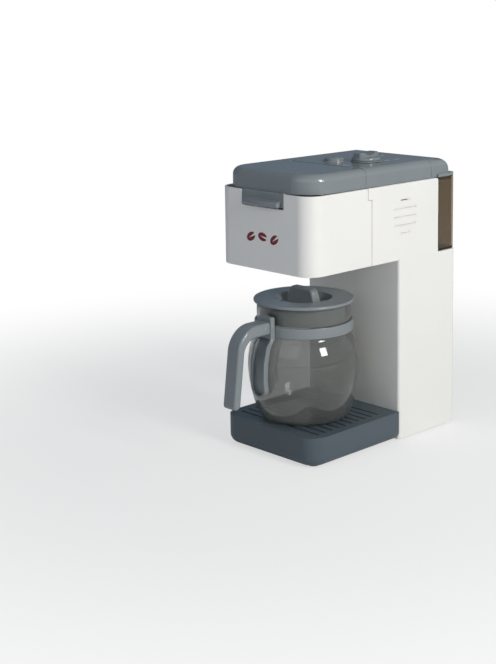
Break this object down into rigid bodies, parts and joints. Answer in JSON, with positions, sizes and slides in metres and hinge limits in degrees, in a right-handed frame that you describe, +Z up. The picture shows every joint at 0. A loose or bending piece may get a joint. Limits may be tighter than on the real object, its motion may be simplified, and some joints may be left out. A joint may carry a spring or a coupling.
{
  "type": "toy drip coffee maker with jug",
  "caption": "Toy drip coffee maker: white body, grey hinged top with button and knob, lift-off water tank, slatted drip tray, and a see-through jug with handle and lid.",
  "frame": {"origin": "on the surface it stands on, under the middle of the whole outline, jug handle included", "axes": "+X towards the side with the speaker vents (the right, seen from the front), +Y from the jug handle to the back, +Z up"},
  "size_m": [0.115, 0.237, 0.2641],
  "materials": {
    "white_plastic": "smooth gloss white ABS",
    "grey_plastic": "smooth blue-grey ABS",
    "dark_plastic": "satin dark grey",
    "black_plastic": "satin black",
    "smoke_clear": "clear smoke-grey polystyrene, see-through",
    "brown_clear": "clear brown-grey polystyrene, see-through",
    "light_clear": "frosted clear lens",
    "coffee_brown": "grainy moulded brown",
    "steel": "bright steel",
    "board_green": "solder mask green",
    "battery_wrap": "glossy sleeve",
    "soft_rubber": "dull soft rubber",
    "pale_tube": "milky soft vinyl"
  },
  "bodies": {
    "machine": {"head_front_shell": "white_plastic", "right_body_shell": "white_plastic", "left_body_shell": "white_plastic", "head_floor": "white_plastic", "outlet_nozzle": "grey_plastic", "brew_light": "light_clear", "brew_deck": "grey_plastic", "coffee_basket": "dark_plastic", "coffee_powder": "coffee_brown", "lid_pin_left": "steel", "lid_pin_right": "steel", "rear_top_cover": "grey_plastic", "button_spring": "steel", "button_switch": "black_plastic", "circuit_board": "board_green", "knob_ring": "grey_plastic", "selector_switch": "black_plastic", "speaker": "black_plastic", "tank_grommet": "soft_rubber", "pump": "dark_plastic", "intake_tube": "pale_tube", "delivery_tube": "pale_tube", "base_plate": "white_plastic", "battery_box": "white_plastic", "battery_1": "battery_wrap", "battery_2": "battery_wrap", "battery_3": "battery_wrap", "battery_contact_front": "steel", "battery_contact_rear": "steel", "battery_door": "white_plastic", "battery_door_screw": "steel", "base_screw_front_left": "steel", "base_screw_front_right": "steel", "base_screw_rear_left": "steel", "base_screw_rear_right": "steel", "foot_front_left": "soft_rubber", "foot_front_right": "soft_rubber", "foot_rear_left": "soft_rubber", "foot_rear_right": "soft_rubber", "drip_tray": "grey_plastic", "drip_grate": "grey_plastic"},
    "front_lid": {"front_lid": "grey_plastic"},
    "knob": {"knob": "grey_plastic"},
    "start_button": {"start_button": "grey_plastic"},
    "water_tank": {"water_tank": "brown_clear"},
    "tank_cap": {"tank_cap": "grey_plastic"},
    "jug": {"jug_body": "smoke_clear", "jug_band": "grey_plastic", "jug_strap": "grey_plastic", "jug_handle": "grey_plastic", "handle_rivet": "steel"},
    "jug_lid": {"jug_lid": "grey_plastic"}
  },
  "joints": [
    {"name": "lid_hinge", "type": "hinge", "parent": "machine", "child": "front_lid", "pos_m": [0, -0.00615, 0.253], "axis": [-1, 0, 0], "range_deg": [0, 80]},
    {"name": "knob_turn", "type": "hinge", "parent": "machine", "child": "knob", "pos_m": [0.02, 0.03566, 0.2595], "axis": [0, 0, 1], "range_deg": [-120, 120]},
    {"name": "button_press", "type": "slide", "parent": "machine", "child": "start_button", "axis": [0, 0, -1], "range_m": [0, 0.0015], "stiffness_N_per_m": 300, "springref_m": -0.003, "deforming": ["button_spring"]},
    {"name": "tank_lift", "type": "slide", "parent": "machine", "child": "water_tank", "axis": [0, 0, 1], "range_m": [0, 0.11]},
    {"name": "tank_cap_lift", "type": "slide", "parent": "water_tank", "child": "tank_cap", "axis": [0, 0, 1], "range_m": [0, 0.03]},
    {"name": "jug_draw", "type": "slide", "parent": "machine", "child": "jug", "axis": [0, -1, 0], "range_m": [0, 0.13]},
    {"name": "jug_lid_lift", "type": "slide", "parent": "jug", "child": "jug_lid", "axis": [0, 0, 1], "range_m": [0, 0.016]}
  ]
}
